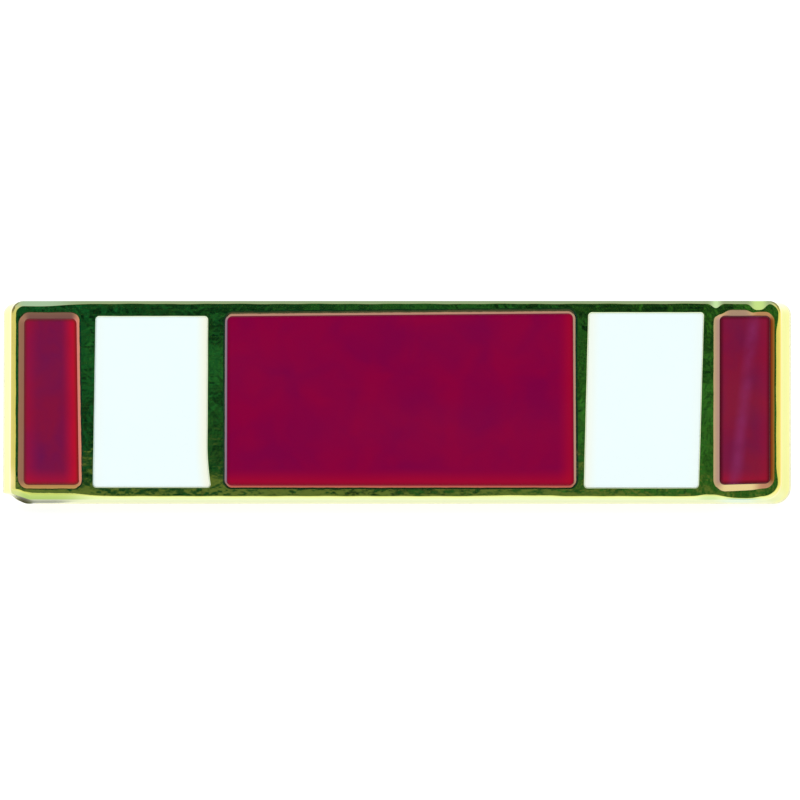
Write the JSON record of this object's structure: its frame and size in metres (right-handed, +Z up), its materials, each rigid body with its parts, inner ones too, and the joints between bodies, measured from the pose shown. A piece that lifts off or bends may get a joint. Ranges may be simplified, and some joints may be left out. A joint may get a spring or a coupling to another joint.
{
  "type": "enamelled ribbon bar lapel pin",
  "caption": "Small oblong metal bar with crimson and white enamel stripes set in cells between polished ribs, and clutch posts soldered to its back.",
  "frame": {"origin": "on the surface that the pin rests on, under the middle of its box", "axes": "+X along the bar, +Z up, and the enamelled face looks towards -Y and 21.6 degrees up, as the bar leans on its lower back edge and the tips of its posts"},
  "size_m": [0.0254, 0.01, 0.0065],
  "materials": {
    "gold_plate": "polished pale gold plating over die-struck brass",
    "crimson_enamel": "hard enamel, stoned flat and polished",
    "white_enamel": "hard enamel, stoned flat and polished"
  },
  "bodies": {
    "root": {"base_plate": "gold_plate", "enamel_crimson_left": "crimson_enamel", "enamel_white_left": "white_enamel", "enamel_crimson_centre": "crimson_enamel", "enamel_white_right": "white_enamel", "enamel_crimson_right": "crimson_enamel"}
  },
  "joints": []
}
